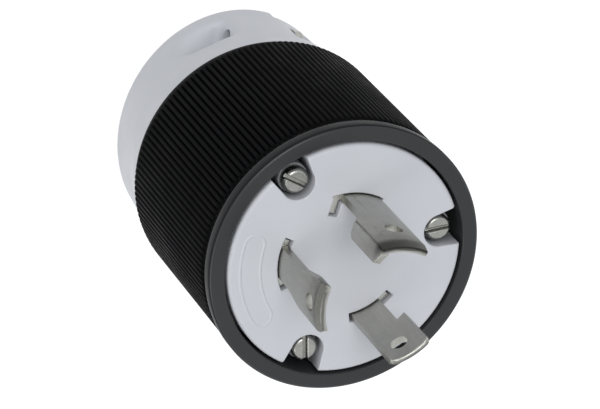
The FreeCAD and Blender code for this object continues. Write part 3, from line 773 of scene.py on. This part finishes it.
def roundNormals(piece):
    # Corners that lie on a blade's outer or inner radius, on faces that look straight in or
    # out, get the radial direction as their normal, so that a bent plate shades as one curve.
    applyModifiers(piece)
    mesh = piece.data
    normal = vectorsOf(mesh.corner_normals, "vector")
    sides = countsOf(mesh.polygons, "loop_total")
    face = np.repeat(vectorsOf(mesh.polygons, "normal"), sides, axis=0)
    place = placesOf(mesh)[countsOf(mesh.loops, "vertex_index")]
    radius = np.hypot(place[:, 0], place[:, 1])
    radial = place * (1, 1, 0) / np.maximum(radius, 1e-9)[:, None]
    turned = np.einsum("ij,ij->i", face, radial)
    off = np.abs(radius[:, None] - np.array(bladeShape["radii"])).min(axis=1)
    onCurve = (off < bladeShape["radiusMargin"]) & (np.abs(turned) > bladeShape["facing"])
    normal[onCurve] = radial[onCurve] * np.sign(turned[onCurve])[:, None]
    mesh.normals_split_custom_set(normal.tolist())


def softenNode(node, name, width, finish, slot):
    # a merged copy of a node's mesh, with even faces, shadows and broken edges
    b = breaking
    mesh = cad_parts[node].data.copy()
    mesh.name = name
    for layer in ("custom_normal", "sharp_edge", "sharp_face"):
        if layer in mesh.attributes:
            mesh.attributes.remove(mesh.attributes[layer])
    work = bmesh.new()
    work.from_mesh(mesh)
    bmesh.ops.remove_doubles(work, verts=work.verts, dist=b["merge"] * mm)
    bmesh.ops.dissolve_degenerate(work, edges=work.edges, dist=b["sliver"] * mm)
    bmesh.ops.dissolve_limit(
        work, angle_limit=math.radians(b["flat"]), verts=work.verts, edges=work.edges,
    )
    if node in blades:
        for down in bladeShape["lines"]:
            height = (blades[node]["top"] - down) * mm
            bmesh.ops.bisect_plane(
                work, geom=[*work.verts, *work.edges, *work.faces],
                plane_co=(0, 0, height), plane_no=(0, 0, 1),
            )
        markBevels(work, node)
    work.to_mesh(mesh)
    work.free()
    piece = bpy.data.objects.new(name, mesh)
    scene.collection.objects.link(piece)
    smoothTo(mesh, b["shaded"])
    if node in ("face_plate", "terminal_block"):
        shadowOn(mesh, wellShadow(placesOf(mesh)))
    if node in blades:
        shadowOn(mesh, bladeShadow(placesOf(mesh), node))
    bevel = piece.modifiers.new("edges", "BEVEL")
    bevel.width = width * mm
    bevel.segments = b["segments"]
    bevel.limit_method = "WEIGHT" if node in blades else "ANGLE"
    bevel.angle_limit = math.radians(b["sharp"])
    bevel.use_clamp_overlap = False
    even = piece.modifiers.new("evenNormals", "WEIGHTED_NORMAL")
    even.keep_sharp = True
    if node in blades:
        roundNormals(piece)
    finishPiece(piece, finish, slot, node)


for node, (name, width, finish, slot) in edges.items():
    softenNode(node, name, width, finish, slot)
print("edges broken")


# The raised frame on the face, left blank

labelFrame = {
    "radius": 20.0,           # from the plug's axis to the frame's middle line
    "fromAngle": 28.5,        # about Z, over the whole frame
    "toAngle": 87.0,
    "halfWidth": 2.1,
    "ridge": 0.36,            # half width of the raised line
    "height": 0.16,
    "crown": 1.2,             # power of the cosine that rounds the line
    "sunk": (0.02, 0.2),      # how far the line's edges and its underside lie in the face
    "face": 69.7,
    "steps": (60, 24, 9),     # along an arc, round an end and across the line
    "sharpFrom": 60,          # degrees
}


def makeLabelFrame():
    # A capsule bent along an arc: two arcs a half width either side of the middle line, joined
    # by half circles, with a low rounded ridge carried along it.
    f = labelFrame
    radius, width = f["radius"], f["halfWidth"]
    along, ends, lines = f["steps"]
    cap = math.degrees(width / radius)
    start, end = math.radians(f["fromAngle"] + cap), math.radians(f["toAngle"] - cap)
    arc = np.linspace(start, end, along)
    half = np.linspace(0, np.pi, ends)[1:-1]
    radii = np.concatenate([np.full(along, radius + width), radius + width * np.cos(half),
                            np.full(along, radius - width), radius - width * np.cos(half)])
    swing = width / radius * np.sin(half)
    angles = np.concatenate([arc, end + swing, arc[::-1], start - swing])
    path = np.stack([radii * np.cos(angles), radii * np.sin(angles)], axis=-1)
    ahead = np.roll(path, -1, axis=0) - np.roll(path, 1, axis=0)
    ahead /= np.linalg.norm(ahead, axis=1, keepdims=True)
    side = np.stack([-ahead[:, 1], ahead[:, 0]], axis=-1)
    across = np.linspace(-1, 1, lines)
    edge, under = f["sunk"]
    lift = f["height"] * np.cos(across * np.pi / 2) ** f["crown"] - edge
    flat = path[None] + side[None] * (across * f["ridge"])[:, None, None]
    height = np.repeat(f["face"] + lift[:, None], len(path), axis=1)
    top = np.concatenate([flat, height[..., None]], axis=-1)
    points = np.concatenate([top, top[[-1, 0]] - (0, 0, under)])
    piece = gridPiece("labelFrame", points)
    faceOutwards(piece.data)
    smoothTo(piece.data, f["sharpFrom"])
    finishPiece(piece, "whiteNylon", "white_nylon")


makeLabelFrame()
print("label frame made")


# The other fastenings keep their solids and get their finishes.

kept = {"screw": "platedScrew", "clamp_plate": "platedScrew", "insert": "rawBrass"}
for node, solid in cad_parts.items():
    for word, finish in kept.items():
        if word in node:
            for place in solid.material_slots:
                place.material = finishes[finish]
print("fastenings finished")
